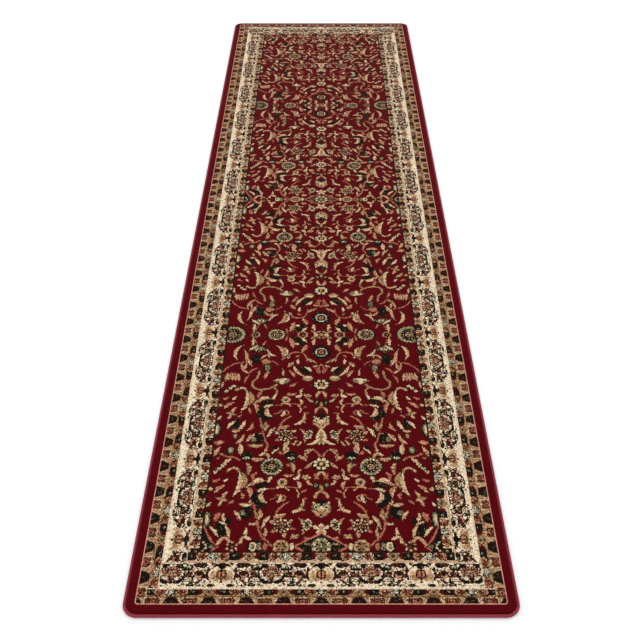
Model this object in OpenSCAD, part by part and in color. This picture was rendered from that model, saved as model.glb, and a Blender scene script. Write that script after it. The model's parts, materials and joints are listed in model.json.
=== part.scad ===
// Machine-woven runner rug, lying flat, pile side up.
// Origin at the middle of the underside; +Y runs along the rug, +X across it, +Z out of the pile.
// The one continuous weave is cut at two fold lines, so that it can fold in three.

/* [Rug] */
// Width over the edge beads
rug_w = 800; // [600:10:1000]
// Length over the edge beads
rug_l = 3000; // [1800:50:4000]
// Radius of the four rounded corners
corner_r = 32; // [20:1:80]

/* [Base cloth] */
// Latex back-size coat on the underside
back_size_t = 0.6; // [0.4:0.1:1.2]
// Each of the two layers of jute weft
weft_t = 0.8; // [0.6:0.1:1.2]
// Stuffer warp that lies between the two weft layers
stuffer_t = 0.8; // [0.6:0.1:1.2]

/* [Pile] */
// Height of the cut pile above the base cloth
pile_h = 7; // [5:0.5:12]

/* [Border widths] */
// Outer edge of the rug to the patterned part
edge_w = 23; // [18:1:40]
// Outer guard stripe along the sides
outer_guard_side_w = 45; // [20:1:60]
// Outer guard stripe across the ends
outer_guard_end_w = 38; // [20:1:60]
// Main border along the sides
main_border_side_w = 51; // [30:1:90]
// Main border across the ends
main_border_end_w = 61; // [30:1:90]
// Inner guard stripe
inner_guard_w = 24; // [12:1:40]

/* [Edge bead] */
// Diameter of the overlocked bead
bead_d = 7; // [6:0.5:10]
// How far the base cloth's edge reaches into the bead
bead_grip = 4; // [3:0.5:5]

/* [Folding] */
// Gap between neighbouring sections at a fold line
fold_gap = 0.4; // [0.2:0.1:1]

/* [Hidden] */
$fn = 64;
SECTIONS = ["near", "middle", "far"];
PIECES = ["field_pile", "inner_guard_pile", "main_border_pile", "outer_guard_pile",
          "plain_band_pile", "weft", "stuffer_warp", "back_size", "overlock"];

base_top = back_size_t + 2 * weft_t + stuffer_t;
rug_t = base_top + pile_h;
bead_r = bead_d / 2;
seam_clear = 0.2;
far_more = 100;

// Distances [at the sides, at the ends] from the rug's outer edge to each outline inside it
cloth_in = [1, 1] * (bead_d - bead_grip);
pile_in = [1, 1] * (bead_d + seam_clear);
outer_guard_in = [1, 1] * edge_w;
main_border_in = outer_guard_in + [outer_guard_side_w, outer_guard_end_w];
inner_guard_in = main_border_in + [main_border_side_w, main_border_end_w];
field_in = inner_guard_in + [1, 1] * inner_guard_w;

// The rug's outline moved in, with its corners rounded about the same centres near the edge
module outline(inset) {
    w = rug_w - 2 * inset[0];
    l = rug_l - 2 * inset[1];
    r = corner_r - inset[0];
    if (r > 0) {
        square([w - 2 * r, l], center = true);
        square([w, l - 2 * r], center = true);
        for (x = [-1, 1]) for (y = [-1, 1])
            translate([x * (w / 2 - r), y * (l / 2 - r)]) circle(r);
    } else {
        square([w, l], center = true);
    }
}

// The stretch of floor that one of the three sections covers; s is 0 near, 1 middle, 2 far
module section_area(s) {
    third = rug_l / 3;
    y_low = s == 0 ? -rug_l / 2 - far_more : (s - 1.5) * third + fold_gap / 2;
    y_high = s == 2 ? rug_l / 2 + far_more : (s - 0.5) * third - fold_gap / 2;
    translate([-rug_w, y_low]) square([2 * rug_w, y_high - y_low]);
}

// A flat layer of one section between two heights
module layer(s, z_low, z_high) {
    translate([0, 0, z_low])
        linear_extrude(z_high - z_low)
            intersection() {
                children();
                section_area(s);
            }
}

// A frame-shaped zone of pile between two outlines
module pile_frame(s, outer_in, inner_in) {
    layer(s, base_top, rug_t)
        difference() {
            outline(outer_in);
            outline(inner_in);
        }
}

module field_pile(s) {
    color([0.40, 0.04, 0.07]) layer(s, base_top, rug_t) outline(field_in);
}

module inner_guard_pile(s) {
    color([0.62, 0.45, 0.30]) pile_frame(s, inner_guard_in, field_in);
}

module main_border_pile(s) {
    color([0.84, 0.75, 0.58]) pile_frame(s, main_border_in, inner_guard_in);
}

module outer_guard_pile(s) {
    color([0.42, 0.30, 0.20]) pile_frame(s, outer_guard_in, main_border_in);
}

module plain_band_pile(s) {
    color([0.36, 0.04, 0.06]) pile_frame(s, pile_in, outer_guard_in);
}

// Two layers of weft, one under and one over the stuffer warp
module weft(s) {
    color([0.66, 0.52, 0.36]) {
        layer(s, back_size_t, back_size_t + weft_t) outline(cloth_in);
        layer(s, base_top - weft_t, base_top) outline(cloth_in);
    }
}

module stuffer_warp(s) {
    color([0.80, 0.76, 0.68])
        layer(s, back_size_t + weft_t, base_top - weft_t) outline(cloth_in);
}

module back_size(s) {
    color([0.74, 0.66, 0.52]) layer(s, 0, back_size_t) outline(pile_in);
}

// Cross-section of the bead about its own centre: round, with a slot for the cloth on the -X side
module bead_profile() {
    difference() {
        circle(bead_r);
        translate([-2 * bead_r, back_size_t - bead_r])
            square([bead_r + bead_grip, base_top - back_size_t]);
    }
}

// A straight run of bead, its slot facing -X, from y = 0 to y = run
module bead_run(run) {
    translate([0, run, 0]) rotate([90, 0, 0]) linear_extrude(run) bead_profile();
}

// One quarter corner, centred on the corner's own centre
module bead_corner() {
    rotate_extrude(angle = 90) translate([corner_r - bead_r, 0]) bead_profile();
}

// Bead round one end of the rug, pointing +Y, from a fold line at y = from_y
module bead_end(from_y) {
    side_x = rug_w / 2 - bead_r;
    corner_x = rug_w / 2 - corner_r;
    corner_y = rug_l / 2 - corner_r;
    for (m = [0, 1]) mirror([m, 0, 0]) {
        translate([side_x, from_y, 0]) bead_run(corner_y - from_y);
        translate([corner_x, corner_y, 0]) bead_corner();
    }
    translate([corner_x, rug_l / 2 - bead_r, 0]) rotate([0, 0, 90]) bead_run(2 * corner_x);
}

module overlock(s) {
    fold_y = rug_l / 6 + fold_gap / 2;
    color([0.45, 0.06, 0.10]) translate([0, 0, bead_r]) {
        if (s == 0) mirror([0, 1, 0]) bead_end(fold_y);
        if (s == 2) bead_end(fold_y);
        if (s == 1) for (m = [0, 1]) mirror([m, 0, 0])
            translate([rug_w / 2 - bead_r, fold_gap - fold_y, 0])
                bead_run(2 * (fold_y - fold_gap));
    }
}

for (s = [0:2]) {
    field_pile(s);
    inner_guard_pile(s);
    main_border_pile(s);
    outer_guard_pile(s);
    plain_band_pile(s);
    weft(s);
    stuffer_warp(s);
    back_size(s);
    overlock(s);
}
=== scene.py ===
"""A machine-woven runner rug. Lengths are in millimetres until the meshes are made, which are in metres.

The pattern is drawn on point papers, one yarn number per knot, and each paper holds one mirrored repeat.
The pile, the cloth layers under it and the overlocked bead are meshes in four lengthwise stretches;
the two middle stretches cross a fold line and are left unattached to any body.
"""

import copy
import json
import math

import bpy
import numpy as np
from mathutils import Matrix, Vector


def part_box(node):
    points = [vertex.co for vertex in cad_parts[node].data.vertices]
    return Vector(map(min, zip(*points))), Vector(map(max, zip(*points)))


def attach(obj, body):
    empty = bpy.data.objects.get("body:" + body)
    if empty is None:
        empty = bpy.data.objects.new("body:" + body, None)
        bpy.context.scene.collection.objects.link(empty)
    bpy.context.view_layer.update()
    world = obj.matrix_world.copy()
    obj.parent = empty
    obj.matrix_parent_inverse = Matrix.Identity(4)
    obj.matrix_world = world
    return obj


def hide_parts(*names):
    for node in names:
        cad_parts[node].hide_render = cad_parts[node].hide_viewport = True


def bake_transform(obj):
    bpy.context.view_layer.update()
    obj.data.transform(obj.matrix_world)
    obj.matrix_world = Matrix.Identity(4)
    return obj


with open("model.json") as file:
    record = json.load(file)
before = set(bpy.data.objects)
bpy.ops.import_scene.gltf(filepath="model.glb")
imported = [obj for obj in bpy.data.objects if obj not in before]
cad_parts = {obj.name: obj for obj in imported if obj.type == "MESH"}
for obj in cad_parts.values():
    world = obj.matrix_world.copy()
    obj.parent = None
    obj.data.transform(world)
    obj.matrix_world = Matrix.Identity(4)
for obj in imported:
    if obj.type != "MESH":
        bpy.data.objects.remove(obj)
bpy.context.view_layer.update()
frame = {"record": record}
# ---- yarns
(RUBY, NIGHT, IVORY, SAND, GOLD, ROSE, MOSS, UMBER, BLUSH, SILVER,
 BROWN, BEIGE, CREAM, SHELL) = range(14)
KNOT = 2.0          # from one knot to the next, both ways
CELL = 1.0          # the point papers are drawn finer than the knots


class Paper:
    """Point paper: a yarn number for each small cell, addressed in millimetres."""

    def __init__(self, x_low, x_high, y_low, y_high, ground, wobble=0.0):
        xs = np.arange(x_low + CELL / 2, x_high, CELL)
        ys = np.arange(y_low + CELL / 2, y_high, CELL)
        x, y = np.meshgrid(xs, ys)
        # outlines are a little uneven, as drawn by hand
        self.x = x + wobble * (np.sin(0.45 * y + 2 * np.sin(0.13 * x)) + np.sin(0.83 * x + 0.31 * y))
        self.y = y + wobble * (np.sin(0.41 * x + 2 * np.sin(0.17 * y)) + np.sin(0.77 * y - 0.29 * x))
        self.origin = (x_low, y_low)
        self.pen = (0, 0)
        self.yarn = np.full(x.shape, ground, np.uint8)

    def moved(self, x, y):
        """The same paper, with all that is drawn through it moved by x and y."""
        view = copy.copy(self)
        view.pen = (self.pen[0] + x, self.pen[1] + y)
        return view

    def window(self, x, y, reach):
        """The cells within reach of a point, or of the box about several points."""
        j0 = int((np.min(x) - reach - self.origin[0]) / CELL) - 3
        j1 = int((np.max(x) + reach - self.origin[0]) / CELL) + 4
        i0 = int((np.min(y) - reach - self.origin[1]) / CELL) - 3
        i1 = int((np.max(y) + reach - self.origin[1]) / CELL) + 4
        return slice(max(i0, 0), max(i1, 0)), slice(max(j0, 0), max(j1, 0))

    def fill(self, inside, yarn, part=(slice(None), slice(None))):
        self.yarn[part][inside] = yarn

    def at(self, x, y):
        """Yarn numbers at points of the paper."""
        i = np.clip(((y - self.origin[1]) / CELL).astype(int), 0, self.yarn.shape[0] - 1)
        j = np.clip(((x - self.origin[0]) / CELL).astype(int), 0, self.yarn.shape[1] - 1)
        return self.yarn[i, j]

    # ---- drawn shapes
    def beads(self, xs, ys, radii, yarn):
        """A string of overlapping discs, which makes any tapering stroke."""
        part = self.window(xs, ys, np.max(radii))
        px, py = self.x[part], self.y[part]
        inside = np.zeros(px.shape, bool)
        for x, y, r in zip(xs, ys, radii):
            inside |= (px - x) ** 2 + (py - y) ** 2 < r * r
        self.fill(inside, yarn, part)

    def vine(self, points, width, yarn=ROSE, edge=UMBER):
        """A stem of even width through the points."""
        xs, ys = curve([(x + self.pen[0], y + self.pen[1]) for x, y in points])
        if edge is not None:
            self.beads(xs, ys, np.full(len(xs), width / 2 + 1.4), edge)
        self.beads(xs, ys, np.full(len(xs), width / 2), yarn)

    def leaf(self, ax, ay, bx, by, width, bend, yarn, light=None, edge=UMBER):
        """A leaf from a to b, pointed at both ends, its middle pushed sideways by bend.
        light lies along one half of it, and edge is its thin outline. A long leaf has two lobes."""
        t = np.linspace(0, 1, 26)
        ax, bx = ax + self.pen[0], bx + self.pen[0]
        ay, by = ay + self.pen[1], by + self.pen[1]
        length = np.hypot(bx - ax, by - ay)
        dx, dy = (bx - ax) / length, (by - ay) / length
        side = 4 * bend * t * (1 - t)
        xs = ax + (bx - ax) * t - dy * side
        ys = ay + (by - ay) * t + dx * side
        half = width * 0.39 * np.sin(np.pi * np.clip(t, 0.05, 0.95)) ** 0.8
        half = half * (1 + 0.16 * np.sin(length * t * 0.9 + ax))
        out = 1 if bend >= 0 else -1
        spine_x, spine_y, spine_half = xs, ys, half
        if length > 15 and width < 16:
            for k, way in ((9, out), (16, -out)):
                reach = np.linspace(0, 0.42 * width + 2.4, 6)
                xs = np.append(xs, spine_x[k] + reach * (0.7 * dx - 0.7 * way * dy))
                ys = np.append(ys, spine_y[k] + reach * (0.7 * dy + 0.7 * way * dx))
                half = np.append(half, np.linspace(0.7 * spine_half[k], 0.9, 6))
        if edge is not None:
            self.beads(xs, ys, half + 1.5, edge)
        self.beads(xs, ys, half, yarn)
        if light is not None:
            keep = slice(4, -4)
            shift = out * 0.35 * spine_half[keep]
            self.beads(spine_x[keep] - dy * shift, spine_y[keep] + dx * shift,
                       np.maximum(spine_half[keep] * 0.5, 1.0), light)

    def oval(self, x, y, rx, ry, yarn, turn=0.0):
        x, y = x + self.pen[0], y + self.pen[1]
        part = self.window(x, y, max(rx, ry))
        c, s = np.cos(np.radians(turn)), np.sin(np.radians(turn))
        dx, dy = self.x[part] - x, self.y[part] - y
        self.fill(((dx * c + dy * s) / rx) ** 2 + ((dy * c - dx * s) / ry) ** 2 < 1, yarn, part)

    def disc(self, x, y, r, yarn):
        self.oval(x, y, r, r, yarn)

    def vines(self, style, *stems):
        """Stems alike: style is their width, yarn and edge."""
        for points in stems:
            self.vine(points, *style)

    def leaves(self, style, *rows):
        """Leaves alike: style is their yarn, light and edge, and each row is the rest of a leaf."""
        for row in rows:
            self.leaf(*row, *style)

    def ovals(self, yarn, *rows):
        """Ovals of one yarn, each row a centre and two radii."""
        for row in rows:
            self.oval(*row, yarn)

    def rings(self, x, y, *rows):
        """Ovals about one centre, the widest first, each row two radii, a yarn and any turn."""
        for row in rows:
            self.oval(x, y, *row)

    def dots(self, x, y, r, count, size, yarn):
        """A ring of small dots."""
        for k in range(count):
            a = 2 * np.pi * (k + 0.5) / count
            self.disc(x + r * np.cos(a), y + r * np.sin(a), size, yarn)

    def rosette(self, x, y, r, petals, outer, gap, ring, heart, edge=NIGHT):
        """A round flower: a dark disc, small petals round it, a ring of dots inside and a heart."""
        self.disc(x, y, r * 1.03, edge)
        self.disc(x, y, r * 0.93, gap)
        petal = max(1.5, 0.52 * np.pi * r * 0.82 / petals)
        self.dots(x, y, r * 0.82, petals, petal, outer)
        self.disc(x, y, r * 0.64, edge)
        if r > 16:
            self.dots(x, y, r * 0.50, max(6, petals * 3 // 5), max(1.4, petal * 0.8), ring)
            self.disc(x, y, r * 0.32, gap)
            self.dots(x, y, r * 0.26, 5, max(1.3, r * 0.06), ring)
        self.disc(x, y, max(2.4, r * 0.16), heart)
        self.disc(x, y, max(1.1, r * 0.08), ring)


def curve(points, steps=9):
    """A smooth curve through the points, as two arrays."""
    p = np.array([points[0], *points, points[-1]], float)
    t = np.linspace(0, 1, steps, endpoint=False)[:, None]
    out = []
    for a, b, c, d in zip(p, p[1:], p[2:], p[3:]):
        out.append(0.5 * (2 * b + (c - a) * t + (2 * a - 5 * b + 4 * c - d) * t ** 2
                          + (3 * b - a - 3 * c + d) * t ** 3))
    out = np.vstack(out + [p[-1:]])
    return out[:, 0], out[:, 1]


# ---- the field
REPEAT = 670.0      # from a cross of rosettes to the next diamond


def night_flower(p, x, y):
    """The large flower with a dark shadow, a cream cap and a crescent body."""
    p = p.moved(x, y)
    p.leaf(-16, 16, 14, 26, 8, -3, IVORY, None, NIGHT)
    p.leaves((NIGHT,), (6, -14, -16, 2, 15, -6), (12, 24, -12, 62, 26, -14))
    p.leaf(-7, -6, 22, 6, 15, -9, SAND, IVORY, NIGHT)
    p.leaf(21, -3, 32, 24, 8, -5, SAND)
    p.leaf(-2, 24, -14, 54, 13, -9, IVORY, SAND, NIGHT)
    p.leaf(-30, 34, -50, 40, 5, 3, ROSE)
    p.oval(6, 8, 13, 6, NIGHT, 10)


def long_crescent(p, x, y):
    """The long curved leaf with a hooked tip, beside the border."""
    p = p.moved(x, y)
    p.vine([(30, -34), (18, -42), (6, -38), (0, -24)], 6, SAND)
    p.leaf(-4, -28, -3, 18, 14, 9, GOLD)
    p.leaf(4, -36, 12, 40, 12, 9, IVORY, SAND)
    p.leaf(-6, 22, 12, 34, 7, -2, IVORY)


def sprig(p, x, y):
    """A small branch of four leaves that lies across the rug."""
    p = p.moved(x, y)
    p.leaf(-2, -22, 4, -2, 6, -3, SAND)
    p.leaf(-22, 4, -4, 2, 13, 0, SAND, GOLD)
    p.leaf(1, -4, 16, 9, 10, 2, IVORY)
    p.leaf(16, -5, 40, -3, 9, 3, ROSE, SAND)


def bell(p, x, y):
    """A small ringed bud over an arched stem."""
    p = p.moved(x, y)
    p.rings(0, 0, (12.5, 12.5, UMBER), (11, 11, SAND), (6.5, 6.5, MOSS), (3, 3, NIGHT))
    p.vine([(-13, 22), (-6, 14), (6, 13), (14, 20)], 4.5, SAND)
    p.vines((2.6, ROSE), [(-14, 13), (-34, 16)], [(14, 19), (32, 18)])


def hand_leaf(p, x, y):
    """A gold leaf with blunt fingers, on the long S-shaped stem."""
    p = p.moved(x, y)
    p.leaf(-4, -14, -2, 16, 12, 0, GOLD, SAND)
    p.leaf(10, -12, 2, 10, 9, 2, GOLD)
    p.leaves((SAND,), (-12, -4, 0, 8, 7, 0), (0, 22, 20, 26, 6, 0))


def star_leaf(p, x, y):
    """A forked leaf with four arms."""
    p = p.moved(x, y)
    p.leaf(-10, -20, 2, 4, 9, -1, SAND)
    p.leaf(-12, 6, 14, -2, 9, 0, GOLD, SAND)
    p.leaf(0, 0, 7, 20, 8, 1, SAND)


def l_leaf(p, x, y):
    """A bent leaf like a boot, beside the centre line."""
    p = p.moved(x, y)
    p.vine([(-9, -16), (-1, -14)], 4, ROSE)
    p.leaf(-2, -16, 6, 16, 8.5, 3, SAND)
    p.leaf(0, 6, 24, 21, 9.5, 4, IVORY, SAND)
    p.leaf(-6, 18, 3, 8, 5, 0, SAND)


def vase(p, y):
    """The palmette that stands on the centre line."""
    p = p.moved(0, y)
    p.oval(0, 0, 11, 9, NIGHT)
    p.leaf(4, 6, 20, 2, 6, 2, IVORY, None, NIGHT)
    p.rings(12, 14, (9, 9, MOSS), (5.5, 6, IVORY), (2.4, 3, NIGHT))
    p.rings(0, 26, (9, 14, IVORY), (4, 8, GOLD))
    p.leaf(4, 42, 22, 22, 10, -4, GOLD, SAND)


def centre_flower(p, y):
    """A small flower on the centre line, white petals round a dark heart."""
    p = p.moved(0, y)
    p.oval(0, 0, 25, 20, NIGHT)
    for k in range(8):
        a = 2 * np.pi * (k + 0.5) / 8
        p.oval(15 * np.cos(a), 13 * np.sin(a), 4.6, 4.6, IVORY)
    p.rings(0, 0, (8.5, 8.5, UMBER), (5, 5, SAND), (2, 2, RUBY))


def oval_flower(p, x, y):
    """A slanting oval flower with a tan leaf curled round it."""
    p = p.moved(x, y)
    p.leaf(20, -18, 10, 24, 11, 8, SAND, ROSE)
    p.oval(0, 0, 10.5, 17, NIGHT, -22)
    for k in range(10):
        a = 2 * np.pi * k / 10
        p.disc(7.4 * np.cos(a) + 4.5 * np.sin(a), 12 * np.sin(a) - 2 * np.cos(a), 2.5, IVORY)
    p.rings(0, 0, (4.6, 8, MOSS, -22), (2.2, 4, NIGHT, -22))


def tuft_rosette(p, x, y):
    """The middle-sized rosette, with loose tan petals round it."""
    r = 19
    for k, turn in enumerate((200, 150, 90, 20, -40)):
        a = np.radians(turn)
        bx, by = x + r * 0.8 * np.cos(a), y + r * 0.8 * np.sin(a)
        p.leaf(bx, by, bx + 15 * np.cos(a + 0.5), by + 15 * np.sin(a + 0.5), 9, 2, (SAND, ROSE)[k % 2])
    p.rosette(x, y, r, 11, IVORY, UMBER, SAND, NIGHT, UMBER)


def twice_repeated(p):
    """The part of the field that comes twice in each repeat."""
    p.leaf(64, 184, 80, 198, 9, 0, ROSE, SAND)
    p.vine([(57, 262), (51, 274), (53, 286)], 3.4, SAND)
    p.leaves((ROSE,), (34, 264, 46, 272, 6, 0), (149, 214, 158, 236, 10, -3), (181, 270, 174, 290, 8, 1),
             (230, 234, 247, 242, 8, 0), (194, 292, 205, 303, 6, 0))
    p.vine([(73, 298), (88, 309), (98, 324), (103, 342), (100, 352)], 4, ROSE)
    p.leaf(80, 330, 104, 334, 13, 3, SAND, GOLD)
    p.leaf(110, 334, 129, 368, 9, -4, IVORY, SAND, NIGHT)
    centre_flower(p, 190)
    sprig(p, 48, 226)
    p.rings(250, 262, (8, 8, UMBER), (4.5, 4.5, SAND))
    star_leaf(p, 221, 288)
    l_leaf(p, 43, 304)
    vase(p, 298)
    oval_flower(p, 31, 358)

    p.leaves((SAND,), (0, 212, 13, 236, 10, -3), (18, 252, 35, 238, 8, 2), (56, 240, 51, 262, 9, 4))
    p.rings(13, 252, (8, 9, NIGHT), (4, 5, MOSS))
    p.rings(0, 262, (7, 15, UMBER), (4.5, 11, GOLD))
    p.leaf(3, 268, 16, 288, 8, -3, SAND)
    bell(p, 89, 243)
    p.leaves((IVORY,), (111, 222, 121, 245, 8, -2), (213, 233, 223, 243, 8, 0),
             (245, 298, 255, 310, 7, 0))
    night_flower(p, 134, 246)
    p.leaves((SAND, ROSE), (172, 252, 160, 286, 11, 6), (218, 252, 240, 272, 10, -3))
    p.disc(88, 287, 9, ROSE)
    p.oval(87, 287, 4.5, 5, UMBER)
    p.leaf(92, 278, 98, 300, 10, 3, IVORY)
    p.vine([(99, 284), (114, 291)], 3, ROSE)
    p.vine([(150, 306), (142, 340), (137, 366), (126, 392)], 5, ROSE)
    long_crescent(p, 186, 244)
    hand_leaf(p, 139, 332)


def field_repeat():
    """A quarter of the field's repeat: x from the centre line out, y from cross to diamond."""
    p = Paper(0, 262, -10, REPEAT + 20, RUBY, 0.5)
    # vines first, under everything
    p.vine([(38, 106), (42, 84), (52, 72), (66, 70), (80, 74), (86, 84)], 4, ROSE)
    p.vine([(204, 108), (226, 114), (244, 128), (256, 148)], 3.6, ROSE)
    p.vine([(160, 142), (164, 164), (176, 184), (170, 202), (150, 208), (128, 202), (114, 190)], 5.5,
           GOLD)
    p.vine([(122, 198), (112, 212), (116, 224)], 3.6, GOLD)
    p.vine([(112, 118), (122, 108), (132, 104)], 2.8, ROSE)
    p.leaves((ROSE,), (127, 118, 134, 143, 4, -2), (151, 118, 146, 143, 4, 2))
    p.vine([(2, 434), (8, 416), (20, 405), (34, 404)], 4.5, ROSE)
    p.vine([(192, 436), (204, 427), (220, 425), (236, 417)], 5, ROSE)
    p.vine([(180, 20), (170, 44), (160, 62)], 3, ROSE)
    for u in (0, 257):
        twice_repeated(p.moved(0, u))
        tuft_rosette(p, 86, u + 361)

    # the cross of rosettes
    p.leaves((IVORY, SAND), (15, -16, 15, 14, 11, 0), (17, 17, 23, 44, 9, -1))
    p.vine([(4, 14), (14, 9), (26, 14)], 5, GOLD)
    p.leaf(44, 44, 74, 12, 24, 0, NIGHT)
    p.disc(65, 38, 4.5, IVORY)
    p.leaves((SAND, ROSE), (86, 14, 75, 52, 14, 2), (40, 42, 52, 67, 13, 2))
    p.leaf(92, 4, 96, 26, 7, 0, ROSE)
    p.rings(0, 0, (9, 9, UMBER), (6, 6, GOLD))
    p.rosette(51, 0, 15, 8, SAND, ROSE, UMBER, GOLD, UMBER)
    p.leaf(39, 30, 54, 12, 8, 0, IVORY, None, NIGHT)
    p.rosette(122, 0, 24, 16, IVORY, MOSS, SAND, NIGHT)
    p.rosette(178, 0, 13, 8, SAND, MOSS, GOLD, UMBER, UMBER)
    p.rosette(240, 0, 36, 22, IVORY, MOSS, SAND, UMBER)

    # the dark rosette on the centre line
    p.rings(0, 70, (27, 27, NIGHT), (16.5, 16.5, SILVER), (13.5, 13.5, UMBER), (7, 7, SAND), (4, 4, RUBY))

    # crescents and flowers between the cross and the first small flower
    p.leaf(120, 45, 103, 98, 19, 14, SAND, BLUSH)
    p.leaf(56, 124, 32, 152, 21, 0, NIGHT)
    p.leaves((IVORY, SAND), (72, 122, 46, 160, 10, -5), (183, 10, 181, 52, 9, -2),
             (208, 42, 222, 98, 11, -13))
    p.leaf(44, 126, 26, 142, 9, 2, IVORY, None, NIGHT)
    p.oval(229, 162, 25, 15, UMBER)
    for k in range(5):
        p.leaf(96, 55 + 8 * k, 108 - k, 54 + 8 * k, 3, 0, BROWN, None, None)
    p.rings(35, 168, (15, 11, UMBER), (13, 9, GOLD))
    p.rings(100, 176, (21, 13, UMBER), (19, 10, MOSS))
    for x in (210, 219, 228, 237, 246):
        p.leaf(229 + (x - 229) * 0.7, 148, x, 176, 8.5, 0, (SAND, BLUSH)[x % 2], None, None)
    p.leaves((ROSE,), (57, 82, 68, 88, 7, 0), (18, 128, 8, 150, 5, 2), (150, 26, 156, 44, 6, 0),
             (186, 156, 196, 184, 7, -2))
    p.vine([(0, 116), (7, 128), (4, 146)], 3.4, ROSE)
    p.ovals(NIGHT, (168, 56, 25, 15), (170, 96, 15, 20))
    p.leaves((IVORY,), (112, 45, 100, 92, 6, 15), (62, 94, 61, 116, 8, 0), (82, 172, 120, 176, 9, -3),
             (147, 58, 138, 90, 8, 4), (122, 84, 142, 76, 8, 0))
    p.disc(88, 84, 6, MOSS)
    p.ovals(IVORY, (88, 90, 3, 3), (35, 163, 11, 4), (101, 178, 6, 11))
    p.leaf(140, 78, 160, 98, 8, -2, ROSE, SAND)
    p.leaf(198, 92, 182, 122, 10, 2, IVORY, ROSE)
    p.leaves((SAND,), (40, 94, 24, 108, 8, 2), (26, 100, 14, 110, 6, 0), (101, 132, 99, 162, 6, 2),
             (8, 120, 22, 126, 5, 0), (206, 58, 198, 112, 9, 5), (208, 108, 184, 152, 8, -8),
             (196, 110, 204, 140, 8, 2), (252, 176, 253, 202, 7, 1))
    p.leaf(166, 130, 188, 148, 7, -2, ROSE)
    for k, x in enumerate((148, 157, 166, 175, 184, 192)):
        p.leaf(170, 42, x, 70 - abs(x - 170) * 0.35, 7, 0, (MOSS, IVORY)[k % 2])
    p.rings(145, 106, (14, 11, UMBER), (12, 9, ROSE))
    p.oval(145, 104, 7, 5, GOLD)
    p.rings(140, 129, (11, 15, NIGHT), (7, 11, MOSS))
    p.leaves((SAND, ROSE), (72, 108, 86, 126, 11, -2), (84, 138, 68, 163, 10, 2),
             (134, 142, 146, 168, 10, -2))

    # between the first and second lots of repeated flowers
    p.leaf(2, 340, 6, 388, 20, 0, IVORY, GOLD)
    p.leaf(206, 308, 208, 342, 17, 0, NIGHT)
    p.leaves((IVORY, None, NIGHT), (186, 312, 200, 342, 10, 3), (209, 314, 228, 338, 9, -2))
    p.leaf(232, 380, 256, 386, 15, 0, ROSE, SAND)
    p.leaf(193, 386, 189, 420, 14, 1, SAND, IVORY)
    p.leaves((IVORY, SAND), (88, 384, 84, 416, 14, 2), (210, 430, 228, 452, 10, -2))
    p.leaves((ROSE,), (88, 420, 102, 410, 6, 0), (16, 474, 12, 494, 7, 1))
    p.rings(252, 342, (11, 24, NIGHT), (7, 19, MOSS), (3, 13, IVORY))
    p.rings(214, 406, (11, 13, NIGHT), (7, 9, MOSS), (3, 3, IVORY))
    for x, y in ((229, 453), (236, 461), (243, 470), (222, 196), (231, 203), (239, 213)):
        p.oval(x, y, 7.5, 6.5, NIGHT)
        p.oval(x, y, 5, 4.2, IVORY)
        p.disc(x, y, 1.8, MOSS)
    p.rings(241, 430, (6, 6, UMBER), (3.4, 3.4, ROSE))
    p.leaves((SAND,), (48, 378, 56, 394, 6, 0), (58, 376, 68, 392, 6, 0), (196, 346, 216, 348, 9, 0),
             (186, 356, 206, 388, 9, 5), (240, 396, 250, 426, 11, -2), (76, 404, 88, 414, 9, 0),
             (129, 394, 133, 420, 8, 0), (133, 412, 120, 428, 7, 0), (20, 403, 40, 408, 7, 3),
             (26, 408, 38, 420, 6, 0))
    p.leaves((IVORY,), (4, 366, 33, 389, 10, 5), (99, 398, 116, 416, 8, -1), (133, 412, 144, 424, 7, 0))
    p.ovals(NIGHT, (152, 370, 15, 16), (109, 398, 7, 6))
    p.oval(161, 373, 6, 7, MOSS)
    p.leaf(160, 356, 179, 380, 10, -2, IVORY, ROSE)
    p.leaves((SAND, ROSE), (167, 320, 179, 344, 9, 5), (38, 414, 36, 440, 8, 0), (21, 443, 38, 460, 8, 1))
    p.rings(206, 362, (8, 11, UMBER), (4, 7, GOLD))
    for x in (71, 175):
        p.oval(x, 424, 14, 16, NIGHT)
        for k in range(5):
            a = np.pi * (0.1 + 0.2 * k)
            p.leaf(x + 2 * np.cos(a), 427, x + 9 * np.cos(a), 428 + 8 * np.sin(a), 4.2, 0,
                   (SILVER, MOSS)[k % 2], None, None)
    p.leaves((SAND, GOLD), (139, 390, 173, 390, 11, 4), (136, 432, 162, 432, 12, 2))
    p.leaves((GOLD, SAND), (71, 442, 64, 470, 12, 2), (174, 444, 168, 478, 12, 4))
    p.leaves((SAND,), (36, 428, 54, 426, 7, 1), (160, 456, 172, 460, 8, 0))
    p.rosette(115, 455, 27, 18, IVORY, MOSS, SAND, RUBY)

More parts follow.
